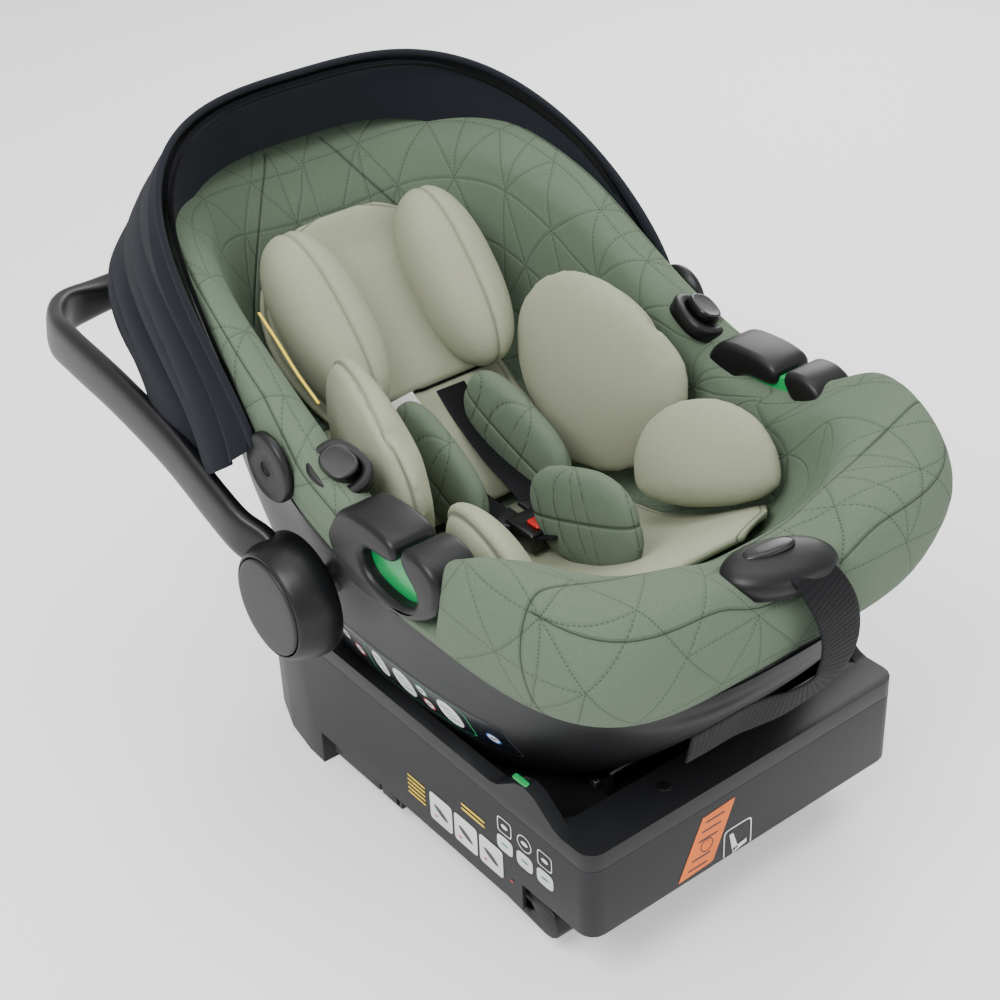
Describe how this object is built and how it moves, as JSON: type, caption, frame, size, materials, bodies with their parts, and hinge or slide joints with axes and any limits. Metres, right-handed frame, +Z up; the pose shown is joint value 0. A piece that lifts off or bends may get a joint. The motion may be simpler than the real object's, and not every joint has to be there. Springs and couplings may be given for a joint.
{
  "type": "infant car seat",
  "caption": "Rear-facing infant car seat with padded insert, folding canopy and turning carry handle, docked in a car base with anchor arms and a fold-out support leg.",
  "frame": {"origin": "middle of the footprint box on the floor, measured without the free end of the adjuster strap", "axes": "+Z up, +Y from the foot end towards the head end, X across; the seat is mirror-symmetric about X = 0"},
  "size_m": [0.476, 0.7744, 0.539],
  "materials": {
    "base_grey": "fine-grained satin moulding",
    "shell_grey": "fine-grained matte moulding",
    "black_plastic": "satin moulding",
    "handle_black": "matte moulding with a soft sheen",
    "button_black": "polished moulding",
    "cap_taupe": "satin warm grey",
    "signal_green": "satin green",
    "signal_red": "satin red",
    "steel": "zinc-plated",
    "leg_metal": "satin anodised",
    "foam": "bead foam",
    "sage_knit": "quilted melange knit",
    "insert_jersey": "smooth jersey over foam",
    "dark_green_pad": "quilted knit",
    "webbing": "woven polyester",
    "canopy_cloth": "plain-woven polyester"
  },
  "bodies": {
    "base": {"base_housing": "base_grey", "base_cover": "base_grey", "lock_bar_front": "steel", "lock_bar_head": "steel", "arm_pivot_pin_right": "steel", "arm_pivot_pin_left": "steel", "leg_pivot_pin": "steel"},
    "indicator": {"indicator_flag": "signal_red"},
    "anchor_right": {"anchor_arm_right": "shell_grey", "anchor_connector_right": "black_plastic"},
    "anchor_left": {"anchor_arm_left": "shell_grey", "anchor_connector_left": "black_plastic"},
    "anchor_release_right": {"anchor_button_right": "shell_grey"},
    "anchor_release_left": {"anchor_button_left": "shell_grey"},
    "leg": {"support_leg_outer": "shell_grey"},
    "leg_slide": {"support_leg_inner": "leg_metal", "support_leg_foot": "black_plastic"},
    "leg_release": {"leg_height_button": "signal_green"},
    "carrier": {"seat_shell": "shell_grey", "foam_liner": "foam", "seat_cover": "sage_knit", "hub_axle_right": "steel", "hub_axle_left": "steel", "belt_guide_right": "black_plastic", "belt_guide_left": "black_plastic", "belt_channel_right": "signal_green", "belt_channel_left": "signal_green", "rim_button_bezel_right": "black_plastic", "rim_button_bezel_left": "black_plastic", "adjuster_bezel": "black_plastic", "canopy_stud_right": "black_plastic", "canopy_stud_left": "black_plastic", "canopy_fabric": "canopy_cloth", "seat_pad": "insert_jersey", "back_pad": "insert_jersey", "body_wing_right": "insert_jersey", "body_wing_left": "insert_jersey", "hip_pad_right": "insert_jersey", "hip_pad_left": "insert_jersey", "shoulder_pad_right": "dark_green_pad", "shoulder_pad_left": "dark_green_pad", "crotch_pad": "dark_green_pad", "buckle": "button_black", "shoulder_strap_right": "webbing", "shoulder_strap_left": "webbing", "adjuster_strap": "webbing"},
    "carry_handle": {"handle": "handle_black"},
    "hub_release_right": {"hub_button_right": "cap_taupe"},
    "hub_release_left": {"hub_button_left": "cap_taupe"},
    "canopy": {"canopy_bow": "black_plastic"},
    "headrest": {"headrest_pad": "insert_jersey", "head_wing_right": "insert_jersey", "head_wing_left": "insert_jersey"},
    "rim_release_right": {"rim_button_right": "button_black"},
    "rim_release_left": {"rim_button_left": "button_black"},
    "harness_release": {"adjuster_button": "button_black"},
    "buckle_release": {"buckle_button": "signal_red"},
    "lever": {"release_lever": "black_plastic"},
    "hook_front": {"latch_hook_front": "steel"},
    "hook_head": {"latch_hook_head": "steel"}
  },
  "joints": [
    {"name": "carrier_lift", "type": "slide", "parent": "base", "child": "carrier", "axis": [0, 0, 1], "range_m": [0, 0.25]},
    {"name": "indicator_rise", "type": "slide", "parent": "base", "child": "indicator", "axis": [0, 0, 1], "range_m": [0, 0.005]},
    {"name": "anchor_swing_right", "type": "hinge", "parent": "base", "child": "anchor_right", "pos_m": [0.139, -0.274, 0.03], "axis": [-1, 0, 0], "range_deg": [0, 180]},
    {"name": "anchor_swing_left", "type": "hinge", "parent": "base", "child": "anchor_left", "pos_m": [-0.139, -0.274, 0.03], "axis": [-1, 0, 0], "range_deg": [0, 180]},
    {"name": "anchor_button_press_right", "type": "slide", "parent": "anchor_right", "child": "anchor_release_right", "axis": [-1, 0, 0], "range_m": [0, 0.003], "stiffness_N_per_m": 600},
    {"name": "anchor_button_press_left", "type": "slide", "parent": "anchor_left", "child": "anchor_release_left", "axis": [1, 0, 0], "range_m": [0, 0.003], "stiffness_N_per_m": 600},
    {"name": "leg_fold", "type": "hinge", "parent": "base", "child": "leg", "pos_m": [0, 0.126, 0.019], "axis": [1, 0, 0], "range_deg": [0, 100]},
    {"name": "leg_extend", "type": "slide", "parent": "leg", "child": "leg_slide", "axis": [0, -1, 0], "range_m": [0, 0.14]},
    {"name": "leg_button_press", "type": "slide", "parent": "leg", "child": "leg_release", "axis": [0, 0, 1], "range_m": [0, 0.003], "stiffness_N_per_m": 600},
    {"name": "handle_turn", "type": "hinge", "parent": "carrier", "child": "carry_handle", "pos_m": [0, -0.048, 0.243], "axis": [1, 0, 0], "range_deg": [0, 150]},
    {"name": "hub_press_right", "type": "slide", "parent": "carry_handle", "child": "hub_release_right", "axis": [-1, 0, 0], "range_m": [0, 0.005], "stiffness_N_per_m": 900},
    {"name": "hub_press_left", "type": "slide", "parent": "carry_handle", "child": "hub_release_left", "axis": [1, 0, 0], "range_m": [0, 0.005], "stiffness_N_per_m": 900},
    {"name": "canopy_open", "type": "hinge", "parent": "carrier", "child": "canopy", "pos_m": [0, -0.029, 0.349], "axis": [1, 0, 0], "range_deg": [0, 80], "deforming": ["canopy_fabric"]},
    {"name": "headrest_height", "type": "slide", "parent": "carrier", "child": "headrest", "axis": [0, 0.6822, 0.7312], "range_m": [0, 0.025]},
    {"name": "rim_press_right", "type": "slide", "parent": "carrier", "child": "rim_release_right", "axis": [-0.3404, 0.4205, -0.841], "range_m": [0, 0.004], "stiffness_N_per_m": 500},
    {"name": "rim_press_left", "type": "slide", "parent": "carrier", "child": "rim_release_left", "axis": [0.3404, 0.4205, -0.841], "range_m": [0, 0.004], "stiffness_N_per_m": 500},
    {"name": "adjuster_press", "type": "slide", "parent": "carrier", "child": "harness_release", "axis": [0, 0, -1], "range_m": [0, 0.0035], "stiffness_N_per_m": 700},
    {"name": "buckle_press", "type": "slide", "parent": "carrier", "child": "buckle_release", "axis": [0, 0, -1], "range_m": [0, 0.003], "stiffness_N_per_m": 700},
    {"name": "lever_pull", "type": "slide", "parent": "carrier", "child": "lever", "axis": [0, 0, 1], "range_m": [0, 0.012], "stiffness_N_per_m": 300},
    {"name": "hook_front_turn", "type": "hinge", "parent": "carrier", "child": "hook_front", "pos_m": [0, -0.221, 0.122], "axis": [1, 0, 0], "range_deg": [0, 15]},
    {"name": "hook_head_turn", "type": "hinge", "parent": "carrier", "child": "hook_head", "pos_m": [0, 0.045, 0.124], "axis": [-1, 0, 0], "range_deg": [0, 15]}
  ],
  "couplings": [
    {"joint": "indicator_rise", "follows": "carrier_lift", "ratio": 0.02},
    {"joint": "hook_front_turn", "follows": "lever_pull", "rad_per_m": 20},
    {"joint": "hook_head_turn", "follows": "lever_pull", "rad_per_m": 20}
  ]
}
